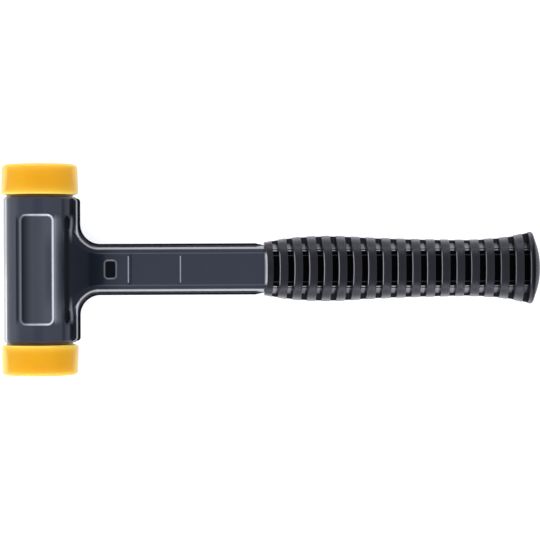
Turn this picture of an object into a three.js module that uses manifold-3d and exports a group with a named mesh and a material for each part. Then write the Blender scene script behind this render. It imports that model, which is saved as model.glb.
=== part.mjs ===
import * as THREE from 'three';
import { mergeVertices } from 'three/addons/utils/BufferGeometryUtils.js';
import Module from 'manifold-3d';

// Soft face hammer of the kind that does not bounce back.
// Sizes are in millimetres. The head's axis lies along Y, the handle runs from it along +X,
// and the two pressed halves of the housing meet on the plane Z = 0.

// Driving dimensions of the head
const faceDiameter = 50;
const headLength = 137;
const faceHeight = 19.7;
const faceGap = 1.6;
const faceCornerRadius = 2.6;
const faceLipRadius = 1.8;
const faceTaper = 0.35;
const spigotLength = 14;
const spigotChamfer = 1.2;
const barrelDiameter = 47.4;
const barrelRimRadius = 1.2;
const sheetThickness = 1.8;
const labelWidth = 22.7;
const labelLength = 72.8;
const labelCornerRadius = 2.6;
const pressedDepth = 0.8;
const flankRecessStart = THREE.MathUtils.degToRad(46);
const flankRecessEnd = THREE.MathUtils.degToRad(68);

// Driving dimensions of the shot chamber
const tubeWall = 1.5;
const capThickness = 3;
const shotFill = 0.7;
const shotSolidShare = 0.6;
const ballDiameter = 6;

// Driving dimensions of the neck and shank
const flangeReach = 26.4;
const flangeEndMargin = 0.8;
const flangeEndRadius = 2.3;
const flangeWidth = 1.6;
const neckFilletRadius = 13;
const neckWallReach = 22;
const neckWallRadiusX = 20;
const neckWallRadiusY = 10.6;
const neckBlendRadius = 52;
const shankWidth = 33.5;
const shankThickness = 21;
const shankCornerInset = 5.2;
const flangeChamferLength = 5.2;
const tailStep = 1.4;

// Driving dimensions of the grip
const overallLength = 351;
const gripLength = 180;
const gripFlatness = 0.86;
const gripFrontHalfWidth = 17.3;
const gripSwellHalfWidth = 21.1;
const gripWaistHalfWidth = 18.6;
const gripFlareHalfWidth = 23.2;
const gripFrontChamfer = 1.4;
const gripSwellAt = 0.24;
const gripWaistStartAt = 0.6;
const gripWaistEndAt = 0.79;
const buttCornerRadius = 1.7;
const buttDomeHeight = 4.6;
const grooveCount = 18;
const groovePitch = 9.5;
const grooveWidth = 4.4;
const firstGrooveFromFront = 8.7;
const pocketHalfWidth = 11.2;
const pocketFloorRubber = 1;
const pocketLipHeight = 1.2;
const bevelWidth = 5.2;
const sideGrooveDepth = 0.7;
const tailEndRubber = 20;

// Clearances between pieces
const fitGap = 0.3;
const seamGap = 0.3;

// Sizes that follow from the driving dimensions
const faceRadius = faceDiameter / 2;
const barrelRadius = barrelDiameter / 2;
const boreRadius = barrelRadius - sheetThickness;
const faceUndersideY = headLength / 2 - faceHeight;
const barrelHalfLength = faceUndersideY - faceGap;
const spigotRadius = boreRadius - fitGap;
const spigotEndY = faceUndersideY - spigotLength;
const tubeRadius = boreRadius - fitGap;
const tubeHalfLength = spigotEndY - fitGap;
const chamberRadius = tubeRadius - tubeWall;
const capOuterY = tubeHalfLength - fitGap;
const chamberHalfLength = capOuterY - capThickness;
const shotRadius = chamberRadius - fitGap;
const shotHalfLength = chamberHalfLength * shotFill;
const shankHalfWidth = shankWidth / 2;
const shankHalfThickness = shankThickness / 2;
const wallHalfWidth = shankHalfWidth - flangeWidth;
const neckWallCentre = new THREE.Vector2(neckWallReach + neckWallRadiusX, wallHalfWidth + neckWallRadiusY);
const gripEndX = overallLength - faceRadius;
const gripFrontX = gripEndX - gripLength;
const shankEndX = gripFrontX + shankCornerInset;
const tailEndX = gripEndX - tailEndRubber;
const tailHalfWidth = wallHalfWidth - tailStep;
const tailHalfThickness = shankHalfThickness - tailStep;

// Numbers of straight pieces that stand in for curves
const headSegments = 48;
const chamberSegments = 24;
const gripSegments = 32;
const filletSegments = 6;
const roundingSegments = 3;
const sideLineSegments = 20;
const domeSegments = 5;
const farOutside = 100;

const wasm = await Module();
wasm.setup();

// Geometry to a solid for cutting and joining
function solid(geometry) {
  geometry.deleteAttribute('normal');
  geometry.deleteAttribute('uv');
  const welded = mergeVertices(geometry, 1e-5);
  return new wasm.Manifold(new wasm.Mesh({
    numProp: 3,
    vertProperties: new Float32Array(welded.attributes.position.array),
    triVerts: new Uint32Array(welded.index.array),
  }));
}

// Points of an arc in a plane, from one angle to another
function arcPoints(centreX, centreY, radius, startAngle, endAngle, segments) {
  const clockwise = endAngle < startAngle;
  const arc = new THREE.EllipseCurve(centreX, centreY, radius, radius, startAngle, endAngle, clockwise);
  return arc.getPoints(segments);
}

// Round solid about the Y axis from its outline: radius across, height along Y
function turned(outline, segments) {
  return solid(new THREE.LatheGeometry(outline, segments));
}

function cylinderAlongY(radius, lowY, highY, segments) {
  return turned([
    new THREE.Vector2(0, lowY),
    new THREE.Vector2(radius, lowY),
    new THREE.Vector2(radius, highY),
    new THREE.Vector2(0, highY),
  ], segments);
}

function boxBetween(low, high) {
  const size = high.clone().sub(low);
  const middle = low.clone().add(high).multiplyScalar(0.5);
  const geometry = new THREE.BoxGeometry(size.x, size.y, size.z);
  geometry.translate(middle.x, middle.y, middle.z);
  return solid(geometry);
}

// Flat outline in X and Y to a plate centred on Z = 0, with edges that slope in towards both faces
function plateAcrossZ(outline, edgeHalfThickness, slopeRise, slopeInset, slopeSegments) {
  const geometry = new THREE.ExtrudeGeometry(outline, {
    depth: 2 * edgeHalfThickness,
    bevelEnabled: slopeRise > 0,
    bevelThickness: slopeRise,
    bevelSize: slopeInset,
    bevelOffset: -slopeInset,
    bevelSegments: slopeSegments,
    curveSegments: filletSegments,
  });
  geometry.translate(0, 0, -edgeHalfThickness);
  return solid(geometry);
}

// Outline in Y and Z to a bar along X
function barAlongX(outline, startX, endX) {
  const geometry = new THREE.ExtrudeGeometry(outline, { depth: endX - startX, bevelEnabled: false });
  geometry.applyMatrix4(new THREE.Matrix4().makeBasis(
    new THREE.Vector3(0, 1, 0),
    new THREE.Vector3(0, 0, 1),
    new THREE.Vector3(1, 0, 0),
  ));
  geometry.translate(startX, 0, 0);
  return solid(geometry);
}

// Outline in X and Z to a bar along Y, centred on Y = 0
function barAlongY(outline, halfLength) {
  const geometry = new THREE.ExtrudeGeometry(outline, {
    depth: 2 * halfLength,
    bevelEnabled: false,
    curveSegments: filletSegments,
  });
  geometry.translate(0, 0, -halfLength);
  geometry.rotateX(Math.PI / 2);
  return solid(geometry);
}

function roundedRectangle(halfWidth, halfHeight, cornerRadius) {
  const shape = new THREE.Shape();
  shape.moveTo(halfWidth - cornerRadius, -halfHeight);
  shape.absarc(halfWidth - cornerRadius, -halfHeight + cornerRadius, cornerRadius, -Math.PI / 2, 0);
  shape.absarc(halfWidth - cornerRadius, halfHeight - cornerRadius, cornerRadius, 0, Math.PI / 2);
  shape.absarc(-halfWidth + cornerRadius, halfHeight - cornerRadius, cornerRadius, Math.PI / 2, Math.PI);
  shape.absarc(-halfWidth + cornerRadius, -halfHeight + cornerRadius, cornerRadius, Math.PI, 1.5 * Math.PI);
  return shape;
}

// Barrel of the head with rolled rims
function barrelSolid() {
  const rimY = barrelHalfLength - barrelRimRadius;
  const rimX = barrelRadius - barrelRimRadius;
  return turned([
    new THREE.Vector2(0, -barrelHalfLength),
    ...arcPoints(rimX, -rimY, barrelRimRadius, -Math.PI / 2, 0, roundingSegments),
    ...arcPoints(rimX, rimY, barrelRimRadius, 0, Math.PI / 2, roundingSegments),
    new THREE.Vector2(0, barrelHalfLength),
  ], headSegments);
}

// Shallow panel pressed into the barrel, facing +Z turned towards +X by an angle
function pressedPanel(width, angle) {
  const outline = roundedRectangle(width / 2, labelLength / 2, labelCornerRadius);
  const geometry = new THREE.ExtrudeGeometry(outline, {
    depth: barrelRadius,
    bevelEnabled: false,
    curveSegments: roundingSegments,
  });
  geometry.translate(0, 0, barrelRadius / 2);
  geometry.rotateY(angle);
  const floorRadius = barrelRadius - pressedDepth;
  const floor = cylinderAlongY(floorRadius, -barrelHalfLength, barrelHalfLength, headSegments);
  return solid(geometry).subtract(floor);
}

// Outline of the raised neck and shank seen from above, moved inwards by an inset
function neckOutline(inset, endX) {
  const halfWidth = wallHalfWidth - inset;
  const radiusX = neckWallRadiusX + inset;
  const radiusY = neckWallRadiusY + inset;
  const { x: centreX, y: centreY } = neckWallCentre;
  const shape = new THREE.Shape();
  shape.moveTo(0, -centreY);
  shape.lineTo(centreX - radiusX, -centreY);
  shape.absellipse(centreX, -centreY, radiusX, radiusY, Math.PI, Math.PI / 2, true);
  shape.lineTo(endX, -halfWidth);
  shape.lineTo(endX, halfWidth);
  shape.lineTo(centreX, halfWidth);
  shape.absellipse(centreX, centreY, radiusX, radiusY, 1.5 * Math.PI, Math.PI, true);
  shape.lineTo(0, centreY);
  return shape;
}

// Outline of the tail that the grip covers
function tailOutline(inset, endX) {
  const halfWidth = tailHalfWidth - inset;
  const shape = new THREE.Shape();
  shape.moveTo(neckWallCentre.x, -halfWidth);
  shape.lineTo(endX, -halfWidth);
  shape.lineTo(endX, halfWidth);
  shape.lineTo(neckWallCentre.x, halfWidth);
  return shape;
}

// Side view of the concave blend that runs from the barrel down to the shank, on both sides of Z = 0
function neckBlendOutline(inset) {
  const flatZ = shankHalfThickness - inset;
  const roundRadius = barrelRadius - inset;
  const blendRadius = neckBlendRadius + inset;
  const centreZ = flatZ + blendRadius;
  const reach = roundRadius + blendRadius;
  const centreX = Math.sqrt(reach * reach - centreZ * centreZ);
  const touchAngle = Math.atan2(-centreZ, -centreX);
  const shape = new THREE.Shape();
  shape.moveTo(0, -roundRadius * Math.sin(-touchAngle));
  shape.absarc(centreX, -centreZ, blendRadius, -touchAngle, Math.PI / 2, true);
  shape.absarc(centreX, centreZ, blendRadius, -Math.PI / 2, touchAngle, true);
  shape.lineTo(0, roundRadius * Math.sin(-touchAngle));
  return shape;
}

// Neck, shank and tail as one solid, moved inwards by an inset
function handleSolid(inset, openEnd) {
  const edge = sheetThickness;
  const shankRise = shankHalfThickness - sheetThickness - inset;
  const tailRise = tailHalfThickness - sheetThickness - inset;
  const blendTop = barrelRadius - inset - edge;
  const endX = openEnd ? tailEndX + farOutside : tailEndX - inset;
  const shank = plateAcrossZ(
    neckOutline(inset, shankEndX - inset), edge, shankRise, shankCornerInset, roundingSegments);
  const tail = plateAcrossZ(tailOutline(inset, endX), edge, tailRise, shankCornerInset, roundingSegments);
  const saddle = plateAcrossZ(
    neckOutline(inset + shankCornerInset / 2, shankEndX - shankCornerInset),
    edge, blendTop, shankCornerInset, roundingSegments);
  const saddleBelowBlend = saddle.intersect(barAlongY(neckBlendOutline(inset), neckWallCentre.y));
  return shank.add(tail).add(saddleBelowBlend);
}

// Flange where the halves are welded: along the back of the barrel and both edges of the shank
function flangeOutline() {
  const endY = barrelHalfLength - flangeEndMargin;
  const filletCentreX = flangeReach + neckFilletRadius;
  const filletCentreY = shankHalfWidth + neckFilletRadius;
  const chamferEndX = gripFrontX - fitGap;
  const chamferStartX = chamferEndX - flangeChamferLength;
  const roundX = flangeReach - flangeEndRadius;
  const roundY = endY - flangeEndRadius;
  const shape = new THREE.Shape();
  shape.moveTo(0, -endY);
  shape.absarc(roundX, -roundY, flangeEndRadius, -Math.PI / 2, 0, false);
  shape.absarc(filletCentreX, -filletCentreY, neckFilletRadius, Math.PI, Math.PI / 2, true);
  shape.lineTo(chamferStartX, -shankHalfWidth);
  shape.lineTo(chamferEndX, -wallHalfWidth);
  shape.lineTo(chamferEndX, wallHalfWidth);
  shape.lineTo(chamferStartX, shankHalfWidth);
  shape.absarc(filletCentreX, filletCentreY, neckFilletRadius, 1.5 * Math.PI, Math.PI, true);
  shape.absarc(roundX, roundY, flangeEndRadius, 0, Math.PI / 2, false);
  shape.lineTo(0, endY);
  return shape;
}

// Both halves of the housing before they are parted
function housingSolid() {
  const flankMiddle = (flankRecessStart + flankRecessEnd) / 2;
  const flankWidth = 2 * barrelRadius * Math.sin((flankRecessEnd - flankRecessStart) / 2);
  const panels = [
    pressedPanel(labelWidth, 0),
    pressedPanel(labelWidth, Math.PI),
    pressedPanel(flankWidth, flankMiddle),
    pressedPanel(flankWidth, Math.PI - flankMiddle),
  ];
  const barrel = panels.reduce((body, panel) => body.subtract(panel), barrelSolid());
  const outside = barrel
    .add(handleSolid(0, false))
    .add(plateAcrossZ(flangeOutline(), sheetThickness, 0, 0, 0));
  const bore = cylinderAlongY(boreRadius, -headLength, headLength, headSegments);
  return outside.subtract(bore).subtract(handleSolid(sheetThickness, true));
}

// One striking face: amber disc, its rounded lip and the spigot inside the barrel, pointing along +Y
function strikingFaceSolid() {
  const topY = headLength / 2;
  const crownRadius = faceRadius - faceTaper;
  return turned([
    new THREE.Vector2(0, spigotEndY),
    new THREE.Vector2(spigotRadius - spigotChamfer, spigotEndY),
    new THREE.Vector2(spigotRadius, spigotEndY + spigotChamfer),
    new THREE.Vector2(spigotRadius, faceUndersideY),
    ...arcPoints(
      faceRadius - faceLipRadius, faceUndersideY + faceLipRadius, faceLipRadius,
      -Math.PI / 2, 0, roundingSegments),
    ...arcPoints(
      crownRadius - faceCornerRadius, topY - faceCornerRadius, faceCornerRadius,
      0, Math.PI / 2, roundingSegments),
    new THREE.Vector2(0, topY),
  ], headSegments);
}

function shotTubeSolid() {
  const outside = cylinderAlongY(tubeRadius, -tubeHalfLength, tubeHalfLength, chamberSegments);
  const inside = cylinderAlongY(chamberRadius, -headLength, headLength, chamberSegments);
  return outside.subtract(inside);
}

function tubeCapSolid() {
  return cylinderAlongY(chamberRadius - fitGap, chamberHalfLength, capOuterY, chamberSegments);
}

// Loose steel balls as one slug with rows of rounded rings.
// Its hollow core leaves out as much as the air between the balls, so that its weight is right.
function shotChargeSolid() {
  const rowCount = Math.round(2 * shotHalfLength / ballDiameter);
  const rowPitch = 2 * shotHalfLength / rowCount;
  const ringRadius = rowPitch / 2;
  const coreRadius = shotRadius * Math.sqrt(1 - shotSolidShare);
  const outline = [new THREE.Vector2(coreRadius, -shotHalfLength)];
  for (let row = 0; row < rowCount; row += 1) {
    const middleY = -shotHalfLength + (row + 0.5) * rowPitch;
    const ring = arcPoints(
      shotRadius - ringRadius, middleY, ringRadius, -Math.PI / 2, Math.PI / 2, roundingSegments);
    outline.push(...(row === 0 ? ring : ring.slice(1)));
  }
  outline.push(new THREE.Vector2(coreRadius, shotHalfLength));
  outline.push(outline[0].clone());
  return turned(outline, chamberSegments);
}

// Side line of the grip from its front end to the widest place of its butt.
// A point part of the way between two places has a share of the change in half width between them.
function sidePoint(startX, startHalfWidth, endX, endHalfWidth, share, widthShare) {
  return new THREE.Vector2(
    THREE.MathUtils.lerp(startX, endX, share),
    THREE.MathUtils.lerp(startHalfWidth, endHalfWidth, widthShare),
  );
}

function gripSideLine() {
  const frontX = gripFrontX + gripFrontChamfer;
  const swellX = gripFrontX + gripSwellAt * gripLength;
  const waistStartX = gripFrontX + gripWaistStartAt * gripLength;
  const waistEndX = gripFrontX + gripWaistEndAt * gripLength;
  const flareX = gripEndX - buttDomeHeight - buttCornerRadius;
  return new THREE.SplineCurve([
    new THREE.Vector2(frontX, gripFrontHalfWidth),
    sidePoint(frontX, gripFrontHalfWidth, swellX, gripSwellHalfWidth, 0.4, 0.65),
    new THREE.Vector2(swellX, gripSwellHalfWidth),
    sidePoint(swellX, gripSwellHalfWidth, waistStartX, gripWaistHalfWidth, 0.5, 0.6),
    new THREE.Vector2(waistStartX, gripWaistHalfWidth),
    new THREE.Vector2(waistEndX, gripWaistHalfWidth),
    sidePoint(waistEndX, gripWaistHalfWidth, flareX, gripFlareHalfWidth, 0.58, 0.4),
    new THREE.Vector2(flareX, gripFlareHalfWidth),
  ]).getPoints(sideLineSegments);
}
const gripSidePoints = gripSideLine();

// Outside of the grip without its grooves: round about X, then flattened
function gripEnvelope() {
  const domeRadius = gripFlareHalfWidth - buttCornerRadius;
  const domeEdgeX = gripEndX - buttDomeHeight;
  const dome = [];
  for (let ring = domeSegments - 1; ring >= 0; ring -= 1) {
    const share = ring / domeSegments;
    dome.push(new THREE.Vector2(share * domeRadius, gripEndX - buttDomeHeight * share * share));
  }
  const outline = [
    new THREE.Vector2(0, gripFrontX),
    new THREE.Vector2(gripFrontHalfWidth - gripFrontChamfer, gripFrontX),
    ...gripSidePoints.map((point) => new THREE.Vector2(point.y, point.x)),
    ...arcPoints(domeRadius, domeEdgeX - buttCornerRadius, buttCornerRadius, 0, Math.PI / 2, roundingSegments)
      .slice(1),
    ...dome,
  ];
  const geometry = new THREE.LatheGeometry(outline, gripSegments);
  geometry.rotateZ(-Math.PI / 2);
  geometry.scale(1, 1, gripFlatness);
  return solid(geometry);
}

// What stays solid at the bottom of the grooves: a bevelled core over the tail and a web at each side
function grooveCore() {
  const floorZ = tailHalfThickness + fitGap + pocketFloorRubber;
  const lipZ = floorZ + pocketLipHeight;
  const webHalfThickness = lipZ - bevelWidth;
  const bevelEndY = pocketHalfWidth + bevelWidth;
  const quarter = [
    [bevelEndY, webHalfThickness],
    [pocketHalfWidth, lipZ],
    [pocketHalfWidth, floorZ],
  ];
  const mirrored = quarter.slice().reverse();
  const section = new THREE.Shape([
    ...quarter.map(([y, z]) => new THREE.Vector2(y, z)),
    ...mirrored.map(([y, z]) => new THREE.Vector2(-y, z)),
    ...quarter.map(([y, z]) => new THREE.Vector2(-y, -z)),
    ...mirrored.map(([y, z]) => new THREE.Vector2(y, -z)),
  ]);
  const webSide = gripSidePoints.map((point) => new THREE.Vector2(point.x, point.y - sideGrooveDepth));
  const webOtherSide = webSide.map((point) => new THREE.Vector2(point.x, -point.y)).reverse();
  const web = plateAcrossZ(new THREE.Shape([...webSide, ...webOtherSide]), webHalfThickness, 0, 0, 0);
  return barAlongX(section, gripFrontX, gripEndX).add(web);
}

function gripSolid() {
  const core = grooveCore();
  let grip = gripEnvelope();
  for (let index = 0; index < grooveCount; index += 1) {
    const middleX = gripFrontX + firstGrooveFromFront + index * groovePitch;
    const slot = boxBetween(
      new THREE.Vector3(middleX - grooveWidth / 2, -farOutside, -farOutside),
      new THREE.Vector3(middleX + grooveWidth / 2, farOutside, farOutside),
    );
    grip = grip.subtract(slot.subtract(core));
  }
  return grip.subtract(handleSolid(-fitGap, false));
}

// The hammer, moved so that the origin lies under the middle of its length and width
const hammer = new THREE.Group();
hammer.name = 'soft_face_hammer';
const originShift = new THREE.Vector3(faceRadius - overallLength / 2, 0, faceRadius);

function addPiece(name, body, finish) {
  const { vertProperties, triVerts } = body.getMesh();
  const geometry = new THREE.BufferGeometry();
  geometry.setAttribute('position', new THREE.BufferAttribute(new Float32Array(vertProperties), 3));
  geometry.setIndex(new THREE.BufferAttribute(new Uint32Array(triVerts), 1));
  geometry.translate(originShift.x, originShift.y, originShift.z);
  geometry.computeVertexNormals();
  const piece = new THREE.Mesh(geometry, new THREE.MeshStandardMaterial(finish));
  piece.name = name;
  hammer.add(piece);
}

const slatePaint = { color: 0x2b2e37, roughness: 0.32, metalness: 0.2 };
const amberPlastic = { color: 0xf7ae14, roughness: 0.35, metalness: 0 };
const blackRubber = { color: 0x1f1e22, roughness: 0.7, metalness: 0 };
const bareSteel = { color: 0x8b8e92, roughness: 0.4, metalness: 0.9 };

const housing = housingSolid();
const nearSide = boxBetween(
  new THREE.Vector3(-overallLength, -headLength, seamGap / 2),
  new THREE.Vector3(overallLength, headLength, farOutside),
);
const farSide = nearSide.mirror([0, 0, 1]);
const strikingFace = strikingFaceSolid();
const tubeCap = tubeCapSolid();

addPiece('near_half_shell', housing.intersect(nearSide), slatePaint);
addPiece('far_half_shell', housing.intersect(farSide), slatePaint);
addPiece('upper_striking_face', strikingFace, amberPlastic);
addPiece('lower_striking_face', strikingFace.mirror([0, 1, 0]), amberPlastic);
addPiece('shot_tube', shotTubeSolid(), bareSteel);
addPiece('upper_tube_cap', tubeCap, bareSteel);
addPiece('lower_tube_cap', tubeCap.mirror([0, 1, 0]), bareSteel);
addPiece('shot_charge', shotChargeSolid(), bareSteel);
addPiece('grip_sleeve', gripSolid(), blackRubber);

export default hammer;
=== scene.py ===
"""Soft face hammer of the kind that does not bounce back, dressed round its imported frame.
The file follows the hammer as it is put together: the shot tube and its balls, the two pressed halves
round them, the amber striking faces, the rubber grip, and then the floor, the lights and the camera."""
import math

import bmesh
import bpy
import numpy as np
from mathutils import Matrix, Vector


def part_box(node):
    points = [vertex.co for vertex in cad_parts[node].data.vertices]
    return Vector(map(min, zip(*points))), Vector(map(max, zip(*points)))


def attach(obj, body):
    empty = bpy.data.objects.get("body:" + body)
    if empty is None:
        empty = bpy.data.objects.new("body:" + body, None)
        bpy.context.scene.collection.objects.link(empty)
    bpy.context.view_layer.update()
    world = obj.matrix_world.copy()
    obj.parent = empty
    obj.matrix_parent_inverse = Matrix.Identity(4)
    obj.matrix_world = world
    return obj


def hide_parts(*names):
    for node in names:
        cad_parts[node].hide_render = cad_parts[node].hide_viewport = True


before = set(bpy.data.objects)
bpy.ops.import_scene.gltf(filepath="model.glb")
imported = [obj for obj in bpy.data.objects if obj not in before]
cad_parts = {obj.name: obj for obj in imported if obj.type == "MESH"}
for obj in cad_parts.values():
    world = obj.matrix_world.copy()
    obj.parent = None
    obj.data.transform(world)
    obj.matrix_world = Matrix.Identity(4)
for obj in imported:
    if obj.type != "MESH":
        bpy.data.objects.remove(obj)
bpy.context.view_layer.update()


# Shot tube and caps
# A steel tube slides into the barrel and holds the shot. A turned disc closes it at each end.
# Both are bare mild steel with fine turning marks round the axis.
mm = 0.001
face_low, face_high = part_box("upper_striking_face")
head_x = (face_low.x + face_high.x) / 2
seam_z = (face_low.z + face_high.z) / 2
weld_distance = 0.0005 * mm


class Wire:
    """One output of a shader node. Arithmetic on it adds Math nodes to the same node tree."""

    def __init__(self, socket):
        self.socket = socket

    def math(self, operation, first, second):
        node = self.socket.id_data.nodes.new("ShaderNodeMath")
        node.operation = operation
        for socket, value in zip(node.inputs, (first, second)):
            connect(socket, value)
        return Wire(node.outputs[0])

    def __add__(self, other):
        return self.math("ADD", self, other)

    def __radd__(self, other):
        return self.math("ADD", other, self)

    def __sub__(self, other):
        return self.math("SUBTRACT", self, other)

    def __rsub__(self, other):
        return self.math("SUBTRACT", other, self)

    def __mul__(self, other):
        return self.math("MULTIPLY", self, other)

    def __rmul__(self, other):
        return self.math("MULTIPLY", other, self)


def connect(socket, value):
    """Links a wire to a socket, or sets the socket's own value."""
    if isinstance(value, Wire):
        socket.id_data.links.new(value.socket, socket)
    else:
        socket.default_value = value


class Finish:
    """The node tree of a material or world. add() makes any node, and surface() ends it in a shader."""

    def __init__(self, owner):
        self.owner = owner
        owner.use_nodes = True
        self.tree = owner.node_tree
        self.tree.nodes.clear()

    def add(self, kind, settings=None, sockets=None, output=0):
        """A node of that kind: its settings first, then the values or wires of its sockets."""
        node = self.tree.nodes.new("ShaderNode" + kind)
        for name, value in (settings or {}).items():
            setattr(node, name, value)
        for name, value in (sockets or {}).items():
            connect(node.inputs[name], value)
        return Wire(node.outputs[output]) if len(node.outputs) else None

    def place(self, scale=(1, 1, 1)):
        """Object coordinates, stretched by a scale along each axis."""
        where = self.add("TexCoord", output="Object")
        return self.add("Mapping", sockets={"Vector": where, "Scale": scale})

    def noise(self, where, scale, detail=2.0, roughness=0.5):
        """Noise from 0 to 1 with about scale lumps to the metre."""
        sockets = {"Vector": where, "Scale": scale, "Detail": detail, "Roughness": roughness}
        return self.add("TexNoise", sockets=sockets, output="Fac")

    def tint(self, share, dark, light):
        """Colour that goes from dark to light with a share from 0 to 1. Either may be a wire."""
        ends = [value if isinstance(value, Wire) else (*value, 1) for value in (dark, light)]
        sockets = {"Factor": share, "A": ends[0], "B": ends[1]}
        node = self.add("Mix", {"data_type": "RGBA"}, output="Result")
        tree_node = node.socket.node
        for socket in tree_node.inputs:
            if socket.name in sockets and socket.enabled:
                connect(socket, sockets[socket.name])
        return Wire(next(out for out in tree_node.outputs if out.enabled))

    def share(self, name):
        """A named share that the mesh carries."""
        return self.add("Attribute", {"attribute_name": name}, output="Fac")

    def rise(self, value, low, high):
        """A smooth step from 0 to 1 as a value goes from low to high."""
        sockets = {"Value": value, "From Min": low, "From Max": high}
        return self.add("MapRange", {"interpolation_type": "SMOOTHSTEP"}, sockets)

    def axes(self, vector):
        """The x, y and z of a vector as three wires."""
        node = self.add("SeparateXYZ", sockets={"Vector": vector}).socket.node
        return [Wire(socket) for socket in node.outputs]

    def scaled(self, colour, amount):
        """A colour made brighter or darker by an amount."""
        return self.add("VectorMath", {"operation": "SCALE"}, {"Vector": colour, "Scale": amount})

    def surface(self, sockets):
        """A Principled shader with these sockets, joined to the material's output."""
        shader = self.add("BsdfPrincipled", sockets=sockets)
        self.add("OutputMaterial", sockets={"Surface": shader})
        return self.owner


def grid_faces(rows, columns, first=0, wrap_rows=False, wrap_columns=False):
    """Quads between the neighbours of a grid whose points are numbered row by row from first."""
    low, left = np.meshgrid(
        np.arange(rows if wrap_rows else rows - 1),
        np.arange(columns if wrap_columns else columns - 1),
        indexing="ij")
    high = (low + 1) % rows
    right = (left + 1) % columns
    corners = [low * columns + left, low * columns + right, high * columns + right, high * columns + left]
    return first + np.stack(corners, axis=-1).reshape(-1, 4)


def make_piece(name, grids, material, sharp_degrees=40, shares=None):
    """One object from grids of points, each with its wraps. Points that meet are welded and faces turned out.
    Named shares, with one value for each point, go with the mesh for its material to read."""
    points = np.concatenate([grid.reshape(-1, 3) for grid, _, _ in grids])
    faces = []
    first = 0
    for grid, wrap_rows, wrap_columns in grids:
        rows, columns = grid.shape[:2]
        faces.append(grid_faces(rows, columns, first, wrap_rows, wrap_columns))
        first += rows * columns
    mesh = bpy.data.meshes.new(name)
    mesh.from_pydata(points.tolist(), [], np.concatenate(faces).tolist())
    for share_name, values in (shares or {}).items():
        mesh.attributes.new(share_name, "FLOAT", "POINT").data.foreach_set("value", values)
    work = bmesh.new()
    work.from_mesh(mesh)
    bmesh.ops.remove_doubles(work, verts=work.verts, dist=weld_distance)
    bmesh.ops.recalc_face_normals(work, faces=work.faces)
    work.to_mesh(mesh)
    work.free()
    mesh.shade_smooth()
    mesh.set_sharp_from_angle(angle=math.radians(sharp_degrees))
    mesh.materials.append(material)
    piece = bpy.data.objects.new(name, mesh)
    bpy.context.scene.collection.objects.link(piece)
    return piece


def turned(radius, along, turns=128):
    """A profile turned about the head's axis: radius r and place y go to (r sin a, y, r cos a) all round."""
    angle = np.linspace(0, 2 * np.pi, turns, endpoint=False)[:, None]
    x = head_x + radius * np.sin(angle)
    z = seam_z + radius * np.cos(angle)
    y = np.broadcast_to(along, x.shape)
    return np.stack([x, y, z], axis=-1)


def bare_steel_finish(name, scale):
    """Bare steel with fine marks round the head's axis and a little grey mottling."""
    finish = Finish(bpy.data.materials.new(name))
    marks = finish.noise(finish.place(scale), 1.0, 3.0)
    mottle = finish.noise(finish.place(), 140.0, 3.0)
    bump = finish.add("Bump", sockets={"Strength": 0.15, "Distance": 0.0001, "Height": marks})
    return finish.surface({
        "Base Color": finish.tint(mottle, (0.36, 0.36, 0.37), (0.52, 0.52, 0.54)),
        "Metallic": 1.0,
        "Roughness": 0.26 + 0.2 * marks,
        "Normal": bump,
    })


turned_steel = bare_steel_finish("turned_steel", (120, 4000, 120))
tube_wall = 1.5 * mm
tube_break = 0.25 * mm
tube_low, tube_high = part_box("shot_tube")
tube_radius = (tube_high.z - tube_low.z) / 2
tube_end = tube_high.y
chamber_radius = tube_radius - tube_wall

outer_break = tube_radius - tube_break
inner_break = chamber_radius + tube_break
end_break = tube_end - tube_break
tube_radii = np.array([
    tube_radius, tube_radius, outer_break, inner_break,
    chamber_radius, chamber_radius, inner_break, outer_break])
tube_places = np.array([
    -end_break, end_break, tube_end, tube_end, end_break, -end_break, -tube_end, -tube_end])
shot_tube = make_piece("shot_tube_steel", [(turned(tube_radii, tube_places), True, True)], turned_steel, 30)
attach(shot_tube, "housing")
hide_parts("shot_tube")

cap_break = 0.4 * mm
for cap_node in ("upper_tube_cap", "lower_tube_cap"):
    cap_low, cap_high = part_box(cap_node)
    cap_radius = (cap_high.z - cap_low.z) / 2
    cap_radii = np.array([0, cap_radius - cap_break, cap_radius, cap_radius, cap_radius - cap_break, 0])
    cap_places = np.array([
        cap_low.y, cap_low.y, cap_low.y + cap_break, cap_high.y - cap_break, cap_high.y, cap_high.y])
    cap = make_piece(cap_node + "_disc", [(turned(cap_radii, cap_places), True, False)], turned_steel, 30)
    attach(cap, "housing")
    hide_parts(cap_node)


# Steel shot
# Loose steel balls fill most of the tube and fly against the struck end, which takes the bounce away.
# They are laid here in close-packed layers inside the space that the charge takes.
ball_radius = 3 * mm
ball_rings = 7
ball_sides = 10
ball_size_share = 0.995
charge_low, charge_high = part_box("shot_charge")
charge_radius = (charge_high.z - charge_low.z) / 2
charge_end = charge_high.y


def packed_centres():
    """Close packing: rows a ball apart, each row and each layer moved into the hollows of the last one."""
    layer_rise = 2 * ball_radius * math.sqrt(2 / 3)
    row_step = ball_radius * math.sqrt(3)
    layer_count = int((2 * charge_end - 2 * ball_radius) / layer_rise) + 1
    reach = int(charge_radius / ball_radius)
    steps = np.arange(-reach, reach + 1)
    layer, row, column = np.meshgrid(np.arange(layer_count), steps, steps, indexing="ij")
    odd = layer % 2
    x = 2 * ball_radius * column + ball_radius * ((row + odd) % 2)
    z = row_step * (row + odd / 3)
    y = (layer - (layer_count - 1) / 2) * layer_rise
    inside = np.hypot(x, z) < charge_radius - ball_radius
    return np.stack([head_x + x[inside], y[inside], seam_z + z[inside]], axis=-1)


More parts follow.
